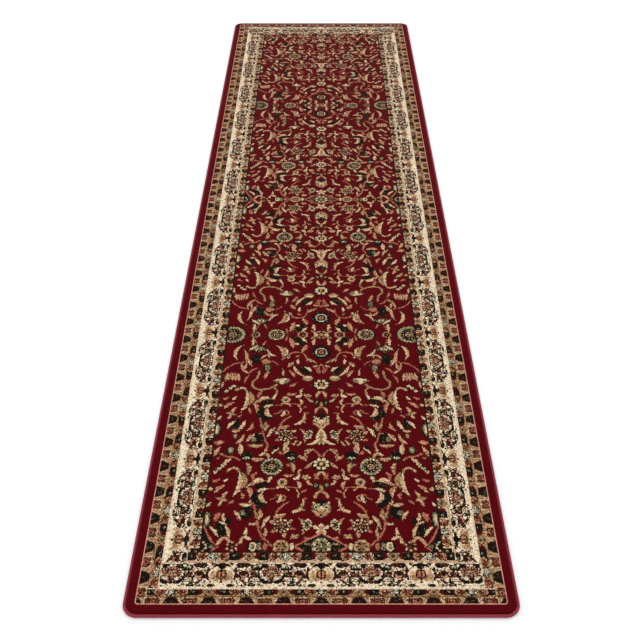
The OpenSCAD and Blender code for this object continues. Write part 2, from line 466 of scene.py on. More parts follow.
    # towards the diamond
    p.leaves((ROSE,), (222, 582, 232, 606, 13, -2), (22, 650, 38, 648, 9, 2))
    p.vine([(140, 606), (136, 628), (124, 648), (112, 662), (98, 674)], 5, ROSE)
    p.leaf(48, 640, 66, 650, 9, 0, SAND, MOSS)
    p.rings(250, 600, (11, 24, NIGHT), (7, 19, MOSS), (3, 13, IVORY))
    p.leaves((SAND, IVORY), (200, 612, 214, 582, 9, 7), (163, 622, 166, 648, 8, 1))
    p.ovals(NIGHT, (165, 582, 13, 20), (203, 606, 7, 9))
    p.disc(174, 584, 7, MOSS)
    p.leaves((SAND, IVORY), (152, 558, 183, 560, 11, 4), (194, 578, 177, 602, 9, 2))
    p.leaves((SAND,), (160, 560, 156, 546, 6, 0), (166, 642, 174, 664, 8, -1), (122, 620, 124, 650, 8, 3),
             (50, 650, 66, 640, 7, 0))
    p.leaves((IVORY,), (206, 616, 226, 610, 11, 0), (150, 652, 166, 644, 9, 1))
    p.leaf(228, 612, 212, 646, 24, 3, NIGHT)
    p.leaves((IVORY, SAND), (210, 616, 198, 648, 9, 3), (0, 612, 6, 642, 18, 0))
    p.leaf(242, 620, 221, 646, 8, 2, IVORY, None, NIGHT)
    p.vine([(194, 664), (202, 650), (212, 650), (222, 664)], 7, SAND)
    p.leaf(4, 626, 18, 618, 9, 0, IVORY)

    # the diamond and the flowers in line with it
    d = REPEAT
    inside = np.abs(p.x) / 58 + np.abs(p.y - d) / 34 < 1
    p.fill(inside, NIGHT)
    outline = np.abs(np.abs(p.x) / 58 + np.abs(p.y - d) / 34 - 1) < 0.075
    p.fill(outline, ROSE)
    p.rosette(0, d, 21, 8, IVORY, MOSS, NIGHT, IVORY, MOSS)
    p.leaf(22, d - 8, 40, d - 4, 6, 0, MOSS)
    p.rings(63, d, (6.5, 12, NIGHT), (4.5, 9.5, IVORY))
    p.rosette(86, d, 18, 8, SAND, GOLD, GOLD, UMBER, UMBER)
    p.rings(120, d, (9, 14, UMBER), (5, 9, ROSE))
    p.oval(142, d, 18, 15, NIGHT)
    p.oval(133, d, 6, 10, MOSS)
    p.oval(146, d, 8, 11, IVORY)
    p.oval(147, d, 4, 7, MOSS)
    p.rosette(190, d, 13, 6, SAND, UMBER, GOLD, UMBER, UMBER)

    # the dark pockets at the field's sides, cut off by a curved line
    bow = 214 + 38 * np.clip(np.abs(p.y - d) / 52, 0, 1) ** 0.55
    pocket = (p.x > bow) & (np.abs(p.y - d) < 52)
    p.fill(pocket, NIGHT)
    p.fill(pocket & (p.x < bow + 4.5), ROSE)
    p.rosette(256, d, 14, 8, IVORY, MOSS, MOSS, NIGHT, NIGHT)
    p.leaf(228, d, 240, d, 9, 0, MOSS)
    # the field's ivory is a duller cream than the borders'
    p.fill(p.yarn == IVORY, CREAM)
    return p


# ---- the borders
BORDER_HALF = 103.0     # from one border motif to the next, on the paper
BORDER_WIDE = 61.0      # the border's width on the paper
GUARD_HALF = 76.0
GUARD_WIDE = 24.0
STEP_HALF = 37.75
STEP_WIDE = 16.0


def border_repeat(on_side):
    """Half a repeat of the main border: the winged flower at x = 0, the fan at BORDER_HALF.
    y runs from the field side outwards."""
    p = Paper(0, BORDER_HALF, 0, BORDER_WIDE, IVORY, 0.35)
    # curved stems
    p.vine([(28, 12), (31, 26), (29, 38), (22, 47)], 2.6, NIGHT, None)
    p.vines((2.4, NIGHT, None), [(50, 9), (62, 8), (78, 5), (90, 6)], [(80, 12), (76, 20), (79, 31)])
    p.vines((2.4, UMBER, None), [(36, 41), (52, 47), (66, 45), (78, 47)],
            [(31, 24), (40, 20), (56, 24), (66, 24)])
    p.vine([(23, 45), (34, 45), (43, 52)], 1.8, UMBER, None)
    p.vine([(52, 14), (49, 21), (56, 27)], 2.2, UMBER, None)
    p.vine([(56, 45), (66, 40), (76, 43), (81, 51)], 2.2, NIGHT, None)
    p.vine([(32, 57), (42, 53), (50, 56)], 2.2, MOSS, None)
    p.ovals(BROWN, (35, 20, 3.4, 2.6), (51, 53, 3, 2.4))
    p.oval(80, 4, 4, 2.2, MOSS)
    # winged flower
    p.oval(0, 29, 29, 22, UMBER)
    p.oval(0, 30, 26.5, 21.5, IVORY)
    p.disc(11, 32, 13, SAND)
    p.oval(12, 36, 8, 6.5, GOLD)
    p.oval(7, 24, 8, 9, CREAM)
    p.fill((p.x < 15) & (p.y > 46), IVORY)
    p.leaf(4, 8, 24, 4, 10, 1, NIGHT, None, None)
    p.leaf(13, 2, 20, 12, 4, 0, SAND, None, None)
    p.leaf(24, 42, 42, 54, 10, 1, IVORY, None, None)
    p.rings(0, 29, (11.5, 11, UMBER), (9, 8.6, BROWN))
    p.ovals(NIGHT, (0, 9, 8, 9), (0, 19, 3, 3))
    p.oval(4, 28, 2.6, 6, BLUSH)
    p.ovals(UMBER, (0, 28, 2.2, 5), (0, 41, 2.4, 3), (0, 46, 3.4, 2))
    p.rings(20, 54, (9, 4.2, MOSS), (7, 3, NIGHT))
    # the spray of small flowers
    p.vine([(38, 36), (43, 45), (51, 54)], 3.2, UMBER, None)
    p.vine([(51, 54), (59, 50), (64, 44)], 2.6, NIGHT, None)
    p.ovals(UMBER, (33, 34, 3.4, 6), (45, 30, 11, 9), (45, 42, 4, 2.6))
    p.oval(47, 32, 7, 5, BLUSH)
    p.ovals(NIGHT, (40, 8, 10, 7), (46, 29, 5, 3), (68, 14, 8.5, 8))
    p.ovals(MOSS, (47, 6, 5, 4), (59, 37, 3, 3))
    p.ovals(UMBER, (38, 5, 3, 2), (56, 33, 2.4, 4))
    p.rings(69, 12, (5, 5, MOSS), (3.4, 3.4, SILVER))
    p.disc(69, 14, 2, NIGHT)
    p.fill((np.abs(p.x - 68) < (p.y - 19) * 0.62) & (p.y > 20) & (p.y < 37), UMBER)
    p.ovals(BROWN, (68, 31, 2.4, 3), (76, 52, 3, 2.6))
    p.vines((3, UMBER, None), [(60, 36), (57, 42)], [(76, 36), (81, 44)])
    p.disc(62, 28, 3, UMBER)
    p.oval(62, 53, 9, 4.4, NIGHT)
    p.ovals(MOSS, (75, 26, 3, 5), (63, 52, 4, 1.8), (84, 54, 4, 2.4))
    p.oval(58, 19, 3.4, 3, BLUSH)
    p.leaf(52, 50, 42, 44, 5, 0, UMBER, None, None)
    # fan
    dx, dy = p.x - BORDER_HALF, p.y - 31
    rad, ang = np.hypot(dx, dy), np.arctan2(-dy, np.abs(dx))
    upper = dy < 4
    ribs = np.cos(ang * 18)
    p.fill((rad < 28) & upper, NIGHT)
    p.fill((rad < 26) & upper, UMBER)
    p.fill((rad < 24.5) & (rad > 21) & (ribs > -0.1) & upper, IVORY)
    p.fill((rad < 20.5) & (ribs < 0.0) & upper, BLUSH)
    p.fill((rad < 15) & (rad > 12.5) & upper, UMBER)
    p.fill((rad < 11) & (np.cos(ang * 12) > 0.2) & upper, MOSS)
    p.fill((rad < 8) & (np.cos(ang * 12) < -0.2) & upper, SILVER)
    p.leaf(79, 32, 96, 49, 9, 3, NIGHT, None, None)
    p.leaf(82, 38, 90, 36, 4, 0, SILVER, None, None)
    p.leaf(80, 20, 84, 32, 5, 1, IVORY, None, None)
    p.oval(BORDER_HALF, 37, 12, 6, UMBER)
    p.oval(BORDER_HALF - 9, 38, 3, 4, SILVER)
    p.rings(BORDER_HALF, 31, (5.5, 6, BROWN), (2.4, 2.6, BLUSH))
    p.oval(BORDER_HALF, 46, 6, 4, UMBER)
    p.oval(BORDER_HALF - 12, 46, 8, 4.4, NIGHT)
    # the plain cream lines on both sides, the outer one wider beside the wings on a long side
    p.fill(p.y < 2.2, BEIGE)
    p.fill(p.y > BORDER_WIDE - 2.6, IVORY)
    if on_side:
        p.fill(p.y > 49.5 + np.clip((p.x - 38) / 4, 0, 7), IVORY)
    else:
        p.oval(51, 7, 10, 5, UMBER)
        p.oval(88, 9, 6, 5, NIGHT)
        p.vine([(27, 16), (30, 28), (27, 41)], 3.4, UMBER, None)
        p.vine([(32, 44), (35, 52), (44, 56)], 2.6, UMBER, None)
    return p


def guard_repeat(ground, inner_line, outer_line, dark_end=42.0):
    """Half a repeat of a guard stripe: gold diamond at x = 0, white rosette at GUARD_HALF.
    inner_line and outer_line are the yarns of the thin lines on its field side and outer side,
    and dark_end is how far the dark box reaches."""
    p = Paper(0, GUARD_HALF, 0, GUARD_WIDE, ground, 0.3)
    y0 = 10.5
    for rx, ry, yarn in ((15, 13, UMBER), (12, 10.5, GOLD), (8, 7, MOSS), (4, 3.6, UMBER)):
        p.fill((np.abs(p.x) / rx + np.abs(p.y - y0) / ry) < 1, yarn)
    p.fill((p.x > 13) & (p.x < 24) & (p.y > 1) & (p.y < 19 - np.abs(p.x - 19) * 0.5), UMBER)
    p.oval(18, 9, 3.4, 6, RUBY)
    p.fill((p.x > 21) & (p.x < dark_end) & (p.y > 1) & (p.y < 20), NIGHT)
    p.oval(31, 9.5, 2.6, 2.6, MOSS)
    p.leaf(43, 2, 47, 20, 4, 1, BLUSH)
    p.oval(54, 9.5, 7, 8, BROWN)
    p.oval(54, 8, 4.2, 4.6, RUBY)
    p.oval(52, 7, 1.6, 1.8, BLUSH)
    p.vine([(44, 20), (54, 19), (62, 11)], 2.4, UMBER, None)
    p.oval(GUARD_HALF, y0, 13, 11.5, UMBER)
    flower = np.hypot((p.x - GUARD_HALF) / 10.5, (p.y - y0) / 9) < 1
    checks = (np.floor((p.x - GUARD_HALF) / 2.7) + np.floor(p.y / 2.7)) % 2 == 0
    p.fill(flower, NIGHT)
    p.fill(flower & checks, SILVER)
    p.oval(GUARD_HALF, y0, 2.6, 2.6, SILVER)
    p.fill(p.y < 2.4, inner_line)
    p.fill(p.y > 21.8, outer_line)
    return p


def step_repeat(reach):
    """Half a repeat of the outermost row: dark trapezoid at x = 0, and a brown striped box, which
    reaches so far from its own middle, at STEP_HALF."""
    p = Paper(0, STEP_HALF, 0, STEP_WIDE, GOLD, 0.3)
    p.fill((p.x > STEP_HALF - reach - 2) & (p.y > 1), BEIGE)
    section = (p.x > STEP_HALF - reach) & (p.y > 2.4) & (p.x - STEP_HALF + reach + p.y > 5)
    p.fill(section, BROWN)
    p.fill(section & (np.floor(p.x / 2.2) % 2 == 0), UMBER)
    p.oval(STEP_HALF, 9, 4.4, 3.2, ROSE)
    p.oval(STEP_HALF, 9, 2.6, 1.8, UMBER)
    half = 7.5 + 0.62 * p.y
    for more, yarn in ((5, BEIGE), (3, GOLD), (1.4, UMBER), (0, NIGHT)):
        p.fill(p.x < half + more, yarn)
    p.oval(0, 9, 4, 3, UMBER)
    p.fill(p.y < 1.2, BROWN)
    return p


def folded(s, half):
    """Distance along a stripe folded into one half repeat, which mirrors it at both ends."""
    s = np.mod(s, 2 * half)
    return np.where(s > half, 2 * half - s, s)


# ---- places, from the frame
MM = 1000.0


def half_size(node):
    """How far a CAD node reaches from the rug's middle, in x and in y."""
    low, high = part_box(node)
    return high.x * MM, max(abs(low.y), abs(high.y)) * MM


def heights(node):
    """The lowest and highest z of a CAD node."""
    low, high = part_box(node)
    return low.z * MM, high.z * MM


# Half the width and half the length of the rug and of each rectangle in it
RUG, CLOTH, PILE, GUARD, BORDER, INNER, FIELD = (half_size(node) for node in (
    "overlock_near", "weft_near", "plain_band_pile_near", "outer_guard_pile_near",
    "main_border_pile_near", "inner_guard_pile_near", "field_pile_near"))
PILE_FOOT, _ = heights("field_pile_near")
_, PILE_TOP = heights("plain_band_pile_near")
_, CLOTH_TOP = heights("weft_near")
STUFFER_FOOT, STUFFER_TOP = heights("stuffer_warp_near")
_, BACK_TOP = heights("back_size_near")
_, BEAD_TOP = heights("overlock_near")
BEAD_R = BEAD_TOP / 2
FOLD_Y = [joint["pos_m"][1] * MM for joint in frame["record"]["behaviour"]["joints"]]
CORNER_R = 32.0     # radius of the rug's corners

# Half the size of the rectangle where the two rows of the outer guard stripe meet
SPLIT = (RUG[0] - 47.0, RUG[1] - 42.0)
RIM = 2.2           # dark line round the field

BODIES = ("near_section", "middle_section", "far_section")
PARTS = ("near", "middle", "far")
# The end stretches are joined to the middle ones at this distance from the rug's middle
STRETCH_END = 677.0
# Each stretch: its y limits and the bodies that it rides on
STRETCHES = (
    (-RUG[1], -STRETCH_END, (0,)),
    (-STRETCH_END, 0.0, (0, 1)),
    (0.0, STRETCH_END, (1, 2)),
    (STRETCH_END, RUG[1], (2,)),
)
BEND_HALF = 13.0    # a fold bends this far to each side of its line

RNG = np.random.default_rng(41)


# ---- yarn colours
def linear(rgb):
    """Linear light of a display colour given as three numbers from 0 to 255."""
    c = np.asarray(rgb, float) / 255
    return np.where(c <= 0.04045, c / 12.92, ((c + 0.055) / 1.055) ** 2.4)


FOOT_RGB = linear((150, 120, 88))
YARN_RGB = linear((
    (81, 4, 10),        # RUBY
    (17, 17, 12),       # NIGHT
    (234, 215, 184),    # IVORY
    (190, 145, 106),    # SAND
    (160, 122, 82),     # GOLD
    (168, 88, 70),      # ROSE
    (112, 108, 80),     # MOSS
    (56, 22, 14),       # UMBER
    (186, 128, 102),    # BLUSH
    (198, 190, 164),    # SILVER
    (106, 66, 44),      # BROWN
    (190, 160, 128),    # BEIGE
    (214, 190, 150),    # CREAM
    (208, 144, 126),    # SHELL
))


def field_yarn(x, y, paper):
    return paper.at(np.abs(x), np.abs(np.abs(y) - REPEAT))


def stripe_yarn(x, y, paper, half, wide, outer, inner, pitches, shift):
    """Yarns of a frame-shaped stripe. outer and inner are its two edges as (half width, half length);
    pitches are the lengths of a half repeat along the ends and along the sides."""
    on_end = np.abs(y) > inner[1]
    across_end = (np.abs(y) - inner[1]) / (outer[1] - inner[1])
    across_side = (np.abs(x) - inner[0]) / (outer[0] - inner[0])
    across = np.where(on_end, across_end, across_side) * wide
    along = np.where(on_end, x / pitches[0], y / pitches[1]) + shift
    return paper.at(folded(along * half, half), np.clip(across, 0, wide - 0.01))


# Each stripe has one paper for the sides and one for the ends
PAPERS = {"step": (step_repeat(13.0), step_repeat(15.5)),
          "outer guard": (guard_repeat(GOLD, IVORY, GOLD), guard_repeat(GOLD, IVORY, BROWN, 46.0)),
          "border": (border_repeat(True), border_repeat(False)),
          "inner guard": (guard_repeat(CREAM, UMBER, BEIGE, 38.0), guard_repeat(BEIGE, UMBER, BEIGE))}
FIELD_PAPER = field_repeat()


# A few knots in every hundred are tied in a neighbouring tone, which shades the motifs
STRAY = {
    IVORY: ((BEIGE, 0.16), (SILVER, 0.08), (BROWN, 0.04)),
    CREAM: ((BEIGE, 0.18), (SAND, 0.14), (BROWN, 0.05)),
    SAND: ((BLUSH, 0.16), (CREAM, 0.12), (GOLD, 0.12), (BROWN, 0.10)),
    GOLD: ((SAND, 0.18), (BROWN, 0.18), (MOSS, 0.12)),
    BLUSH: ((ROSE, 0.18), (SAND, 0.18), (BROWN, 0.12)),
    ROSE: ((BLUSH, 0.22), (BROWN, 0.12)),
    SILVER: ((MOSS, 0.18), (IVORY, 0.18), (BROWN, 0.10)),
    MOSS: ((NIGHT, 0.22), (SAND, 0.12)),
    NIGHT: ((MOSS, 0.02), (UMBER, 0.12)),
    UMBER: ((NIGHT, 0.20), (BROWN, 0.12)),
    BROWN: ((UMBER, 0.25), (GOLD, 0.15)),
    BEIGE: ((SAND, 0.22), (IVORY, 0.10), (BROWN, 0.06)),
}


def yarn_colours(x, y):
    """Colour of every knot, each one a little lighter or darker than its neighbours."""
    yarn = all_yarns(x, y)
    tied = yarn.copy()
    chance = RNG.random(yarn.shape)
    for own, others in STRAY.items():
        low = 0.0
        for other, share in others:
            tied[(yarn == own) & (chance >= low) & (chance < low + share)] = other
            low += share
    tone = np.exp(RNG.normal(-0.01, KNOT_TONE, yarn.shape))
    return YARN_RGB[tied] * tone[..., None]


def all_yarns(x, y):
    """Yarn number of every knot, from its place on the rug."""
    ax, ay = np.abs(x), np.abs(y)
    yarn = np.full(x.shape, RUBY, np.uint8)

    def between(a, b):
        return (ax < a[0]) & (ay < a[1]) & ~((ax < b[0]) & (ay < b[1]))

    # each stripe's two edges, its paper with that paper's length and width, the length of a half repeat
    # along the ends and along the sides, and the half repeats it is moved by on the sides and the ends
    stripes = (
        (GUARD, SPLIT, "step", STEP_HALF, STEP_WIDE, (37.75, 36.25), (1, 0)),
        (SPLIT, BORDER, "outer guard", GUARD_HALF, GUARD_WIDE, (76.0, 77.9), (1, 1)),
        (BORDER, INNER, "border", BORDER_HALF, BORDER_WIDE, (103.0, 110.2), (0, 0)),
        (INNER, FIELD, "inner guard", GUARD_HALF, GUARD_WIDE, (76.0, 76.8), (0, 0)),
    )
    for out, into, paper, half, wide, pitches, shifts in stripes:
        zone = between(out, into)
        for on_end in (False, True):
            here = zone & ((ay > into[1]) == on_end)
            drawn, shift = PAPERS[paper][on_end], shifts[on_end]
            yarn[here] = stripe_yarn(x, y, drawn, half, wide, out, into, pitches, shift)[here]
    # a thin light line edges the patterned part, one knot in from its border with the plain band
    knots_in = np.minimum(GUARD[0] - ax, GUARD[1] - ay) / KNOT
    yarn[(knots_in > 0) & (knots_in < 2)] = SHELL
    yarn[(knots_in > 0) & (knots_in < 1)] = RUBY
    in_field = (ax < FIELD[0]) & (ay < FIELD[1])
    yarn[in_field] = field_yarn(x, y, FIELD_PAPER)[in_field]
    yarn[in_field & ((ax > FIELD[0] - RIM) | (ay > FIELD[1] - RIM))] = NIGHT
    return yarn


# ---- meshes
def lines(*marks, step=KNOT):
    """Grid lines through the marks, about a step apart."""
    out = [np.array([marks[0]])]
    for a, b in zip(marks, marks[1:]):
        out.append(np.linspace(a, b, max(1, round((b - a) / step)) + 1)[1:])
    return np.concatenate(out)


def cells(values):
    """The middles between neighbouring grid lines."""
    return (values[1:] + values[:-1]) / 2


def mirrored(*marks):
    return tuple(-m for m in reversed(marks)) + tuple(m for m in marks if m > 0)


def round_corners(x, y):
    """Moves the points of square corners onto concentric arcs about the rug's corner centres."""
    cx, cy = RUG[0] - CORNER_R, RUG[1] - CORNER_R
    a, b = np.maximum(np.abs(x) - cx, 0), np.maximum(np.abs(y) - cy, 0)
    far = np.hypot(a, b)
    pull = np.where((a > 0) & (b > 0), np.maximum(a, b) / np.maximum(far, 1e-9), 1.0)
    return (np.where((a > 0) & (b > 0), np.sign(x) * (cx + a * pull), x),
            np.where((a > 0) & (b > 0), np.sign(y) * (cy + b * pull), y))


def new_object(name, verts, faces, material):
    mesh = bpy.data.meshes.new(name)
    mesh.from_pydata(np.asarray(verts, float) / MM, [], faces)
    mesh.materials.append(material)
    mesh.shade_smooth()
    mesh.update()
    piece = bpy.data.objects.new(name, mesh)
    bpy.context.scene.collection.objects.link(piece)
    return piece


def paint(piece, rgb, domain):
    """Writes the yarn colours onto the mesh's points or face corners."""
    attribute = piece.data.color_attributes.new("yarn", "FLOAT_COLOR", domain)
    rgba = np.concatenate([rgb, np.ones((len(rgb), 1))], 1)
    attribute.data.foreach_set("color", rgba.astype(np.float32).ravel())


def slab(xs, ys, inside, detail_z, plain_z):
    """A closed layer over the grid cells that are inside. One face follows detail_z at every grid point;
    the other is flat, at plain_z, and made of one strip per row, so that the layer can bend.
    Returns its points, its faces, and the cells that its first faces belong to."""
    rows, cols = inside.shape
    X, Y = np.meshgrid(xs, ys)
    X, Y = round_corners(X, Y)
    detail_up = np.mean(detail_z) > plain_z
    grid = np.arange((rows + 1) * (cols + 1)).reshape(rows + 1, cols + 1)
    count = grid.size
    top = np.stack([X.ravel(), Y.ravel(), detail_z.ravel()], 1)
    low = np.stack([X.ravel(), Y.ravel(), np.full(count, plain_z)], 1)
    j, i = np.nonzero(inside)
    quads = np.stack([grid[j, i], grid[j, i + 1], grid[j + 1, i + 1], grid[j + 1, i]], 1)
    faces = quads.tolist()
    cell_of = [(j, i)]

    padded_in = np.pad(inside, 1)
    walls = []
    for dj, di, a, b in ((-1, 0, (0, 0), (0, 1)), (1, 0, (1, 1), (1, 0)),
                         (0, -1, (1, 0), (0, 0)), (0, 1, (0, 1), (1, 1))):
        edge = inside & ~padded_in[1 + dj:rows + 1 + dj, 1 + di:cols + 1 + di]
        j, i = np.nonzero(edge)
        cell_of.append((j, i))
        va, vb = grid[j + a[0], i + a[1]], grid[j + b[0], i + b[1]]
        walls.append(np.stack([vb, va, va + count, vb + count], 1))
    faces += np.concatenate(walls).tolist()

    runs = []
    for j in range(rows):
        step = np.flatnonzero(np.diff(padded_in[j + 1].astype(int)))
        runs.append(list(zip(step[::2], step[1::2])))
    for j in range(rows):
        for a, b in runs[j]:
            same_low = j > 0 and (a, b) in runs[j - 1]
            same_high = j < rows - 1 and (a, b) in runs[j + 1]
            near_row = [a, b] if same_low else list(range(a, b + 1))
            far_row = [a, b] if same_high else list(range(a, b + 1))
            ring = [grid[j, k] + count for k in near_row]
            ring += [grid[j + 1, k] + count for k in reversed(far_row)]
            faces.append([int(v) for v in reversed(ring)])
    if not detail_up:
        faces = [face[::-1] for face in faces]

    used = np.unique(np.concatenate([np.asarray(face) for face in faces]))
    where = np.full(2 * count, -1)
    where[used] = np.arange(len(used))
    verts = np.concatenate([top, low])[used]
    faces = [where[face].tolist() for face in faces]
    return verts, faces, tuple(np.concatenate(k) for k in zip(*cell_of))


def merged(layers):
    """One mesh of several: all their points, and their faces renumbered."""
    verts, faces, base = [], [], 0
    for points, corners, _ in layers:
        verts.append(points)
        faces += [[base + k for k in face] for face in corners]
        base += len(points)
    return np.concatenate(verts), faces


def place(piece, index, nodes):
    """The piece is attached to its stretch's body where the stretch has one, and otherwise has its transform
    applied and is left unattached. The CAD nodes it stands for are hidden.
    """
    parts = STRETCHES[index][2]
    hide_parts(*[f"{node}_{PARTS[part]}" for node in nodes for part in parts])
    if len(parts) == 1:
        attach(piece, BODIES[parts[0]])
        return
    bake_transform(piece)


# ---- materials
def material(name):
    made = bpy.data.materials.new(name)
    made.use_nodes = True
    tree = made.node_tree
    return made, tree, tree.nodes["Principled BSDF"]


def wire(tree, made, inputs):
    """Each input of the node is set to a value, or linked if it is given another node's output."""
    for key, value in inputs.items():
        if isinstance(value, bpy.types.NodeSocket):
            tree.links.new(value, made.inputs[key])
        else:
            made.inputs[key].default_value = value


def node(tree, kind, inputs, **settings):
    made = tree.nodes.new(kind)
    for key, value in settings.items():
        setattr(made, key, value)
    wire(tree, made, inputs)
    return made.outputs


def noise(tree, scale, detail):
    place_in = node(tree, "ShaderNodeTexCoord", {})["Object"]
    return node(tree, "ShaderNodeTexNoise", {"Vector": place_in, "Scale": scale, "Detail": detail})["Fac"]


def mottle(tree, colour, low, high, scale, detail=3.0):
    """The colour made a little darker and lighter by noise."""
    span = node(tree, "ShaderNodeMapRange", {"Value": noise(tree, scale, detail), "From Min": 0.3,
                                             "From Max": 0.7, "To Min": low, "To Max": high})
    return node(tree, "ShaderNodeVectorMath", {0: colour, 1: span["Result"]}, operation="MULTIPLY")["Vector"]


def pile_material(name):
    """Cut pile: each tuft's own yarn colour, with lighter and darker fibres and soft patches painted lighter
    and darker, as painted shading of the nap.
    """
    made, tree, shader = material(name)
    yarn = node(tree, "ShaderNodeVertexColor", {}, layer_name="yarn")["Color"]
    # the coarse second mottle is painted shading: soft lighter and darker patches for the light that the
    # leaning nap catches
    colour = mottle(tree, mottle(tree, yarn, 0.84, 1.16, 650.0), 0.95, 1.05, 14.0, 2.0)
    bump = node(tree, "ShaderNodeBump",
                {"Height": noise(tree, 1100.0, 2.0), "Strength": 0.35, "Distance": 0.0005})
    wire(tree, shader, {"Base Color": colour, "Normal": bump["Normal"], "Roughness": 0.85,
                        "Specular IOR Level": 0.04, "Sheen Weight": 0.11, "Sheen Roughness": 0.4,
                        "Sheen Tint": (1.0, 0.22, 0.22, 1.0)})
    return made


def cloth_material(name, top, shaded_groove, scale):
    """A matt ribbed cloth, its colour painted lighter on its ribs and darker between them as painted shade,
    with fibres and larger patches.
    """
    made, tree, shader = material(name)
    place_in = node(tree, "ShaderNodeTexCoord", {})["Object"]
    # a band of the wave texture is pi / 10 long at a scale of 1
    ribs = node(tree, "ShaderNodeTexWave",
                {"Vector": place_in, "Scale": 2 * math.pi * MM / RIB_PITCH / 20, "Distortion": 0.6,
                 "Phase Offset": math.pi}, wave_type="BANDS", bands_direction="Y")
    # painted shade: the colour goes from the darker groove colour in the hollows between the ribs to the top
    # colour on the ribs
    painted_rib_shade = node(tree, "ShaderNodeMix", {"Factor": ribs["Fac"], "A": (*shaded_groove, 1.0), "B": (*top, 1.0)},
               data_type="RGBA")
    colour = mottle(tree, mottle(tree, painted_rib_shade["Result"], 0.82, 1.14, scale), 0.88, 1.08, 9.0, 4.0)
    wire(tree, shader, {"Base Color": colour, "Roughness": 0.9, "Specular IOR Level": 0.1})
    return made


def plain_yarn_material(name, colour):
    """A spun yarn of one colour, some of its fibres smoother than others."""
    made, tree, shader = material(name)
    span = node(tree, "ShaderNodeMapRange", {"Value": noise(tree, 300.0, 3.0), "To Min": 0.75})
    wire(tree, shader, {"Base Color": (*colour, 1.0), "Roughness": span["Result"],
                        "Specular IOR Level": 0.1})
    return made


# ---- pile
# Each zone of the pile lies between two rectangles
ZONES = (("field_pile", FIELD, (0, 0)), ("inner_guard_pile", INNER, FIELD),
         ("main_border_pile", BORDER, INNER), ("outer_guard_pile", GUARD, BORDER),
         ("plain_band_pile", PILE, GUARD))
SHOULDER = 5.0          # the pile rounds down this near its edge
SHOULDER_DROP = 2.2
TUFT_RISE = 0.28        # how far tufts stand above or below the others
TUFT_CLEAR = 0.1        # left under the top of the CAD pile
KNOT_TONE = 0.17


def make_pile():
    edges = (FIELD, INNER, BORDER, GUARD, PILE)
    xs = lines(*mirrored(0.0, *(edge[0] for edge in edges)))
    ys = lines(*mirrored(0.0, STRETCH_END, *(edge[1] for edge in edges)))
    X, Y = np.meshgrid(xs, ys)
    colours = yarn_colours(*np.meshgrid(cells(xs), cells(ys)))
    from_edge = np.minimum(PILE[0] - np.abs(X), PILE[1] - np.abs(Y))
    fall = np.clip(1 - from_edge / SHOULDER, 0, 1) ** 2 * SHOULDER_DROP
    height = PILE_TOP - TUFT_CLEAR - fall + RNG.uniform(-1, 1, X.shape) * TUFT_RISE
    cx, cy = np.meshgrid(np.abs(cells(xs)), cells(ys))
    made = {}
    for zone, out, into in ZONES:
        finish = pile_material(zone)
        for index, (y_low, y_high, _) in enumerate(STRETCHES):
            inside = (cx < out[0]) & (np.abs(cy) < out[1])
            inside &= ~((cx < into[0]) & (np.abs(cy) < into[1]))
            rows = np.flatnonzero((cells(ys) > y_low) & (cells(ys) < y_high))
            a, b = rows[0], rows[-1] + 1
            verts, faces, cell_of = slab(xs, ys[a:b + 1], inside[a:b], height[a:b + 1], PILE_FOOT)
            piece = new_object(f"{zone}_{index + 1}", verts, faces, finish)
            foot = np.tile(FOOT_RGB, (len(faces) - len(cell_of[0]), 1))
            face_rgb = np.concatenate([colours[a:b][cell_of], foot])
            paint(piece, np.repeat(face_rgb, [len(face) for face in faces], axis=0), "CORNER")
            place(piece, index, (zone,))
            area = np.outer(np.diff(ys[a:b + 1]), np.diff(xs))[inside[a:b]].sum()
            made[zone, index] = (piece, area, out, into)
    return made


# ---- cloth layers
RIB_PITCH = 5.0         # from one weft to the next
WARP_PITCH = 16.0       # from one notch in the back's ribs to the next
STUFFER_PITCH = 4.0     # from one stuffer warp to the next
BEND_STEP = 1.625       # between the grid lines of a layer where it bends
MARGIN = 20.0           # a grid line lies this far in from a cloth's edge
WEFT_RISE = 0.25        # how far the ribs of each cloth stand up
STUFFER_RISE = 0.3
BACK_RISE = 0.3
BACK_CLEAR = 0.02       # left between the floor and the back's ribs


def across_ribs(x, y):
    """Height of the wefts, from 0 between them to 1, lower where the warps pass over them."""
    rib = 0.5 + 0.5 * np.cos(2 * np.pi * y / RIB_PITCH)
    notch = 0.5 + 0.5 * np.cos(2 * np.pi * x / WARP_PITCH)
    return rib * (0.75 + 0.25 * notch)


def along_ribs(x, y):
    """Height of the stuffer warps, from 0 between them to 1."""
    return np.abs(np.cos(np.pi * x / STUFFER_PITCH))


def make_cloth(name, half, layers, finish, step):
    """A cloth of one or more layers in each stretch. Each layer has the z of its ribs' tops, the z
    between the ribs, the z of its flat face, and the function that raises the ribs."""
    made = []
    xs = lines(*mirrored(0.0, half[0] - MARGIN, half[0]), step=step[0])
    ys = lines(*mirrored(0.0, STRETCH_END, half[1] - MARGIN, half[1]), step=step[1])
    if step[1] > BEND_STEP:
        bends = [fold + np.arange(-BEND_HALF, BEND_HALF + BEND_STEP, BEND_STEP) for fold in FOLD_Y]
        ys = np.union1d(ys, np.concatenate(bends))
    for index, (y_low, y_high, _) in enumerate(STRETCHES):
        rows = np.flatnonzero((cells(ys) > y_low) & (cells(ys) < y_high))
        own = ys[rows[0]:rows[-1] + 2]
        X, Y = np.meshgrid(xs, own)
        inside = np.ones((len(own) - 1, len(xs) - 1), bool)
        built = [slab(xs, own, inside, low + (high - low) * ribs(X, Y), flat_z)
                 for high, low, flat_z, ribs in layers]
        piece = new_object(f"{name}_{index + 1}", *merged(built), finish)
        place(piece, index, (name,))
        made.append(piece)
    return made


# ---- overlocked bead
BEAD_SIDES = 12
BEAD_STEP = 1.05        # from one ring of points to the next
BEAD_CLEAR = 0.05       # left inside the CAD bead
WRAP_PITCH = 4.2        # from one turn of yarn to the next
WRAP_DEPTH = 0.14       # how deep the grooves between the turns are, as a share of the radius
BEAD_RGB = (0.275, 0.042, 0.06)


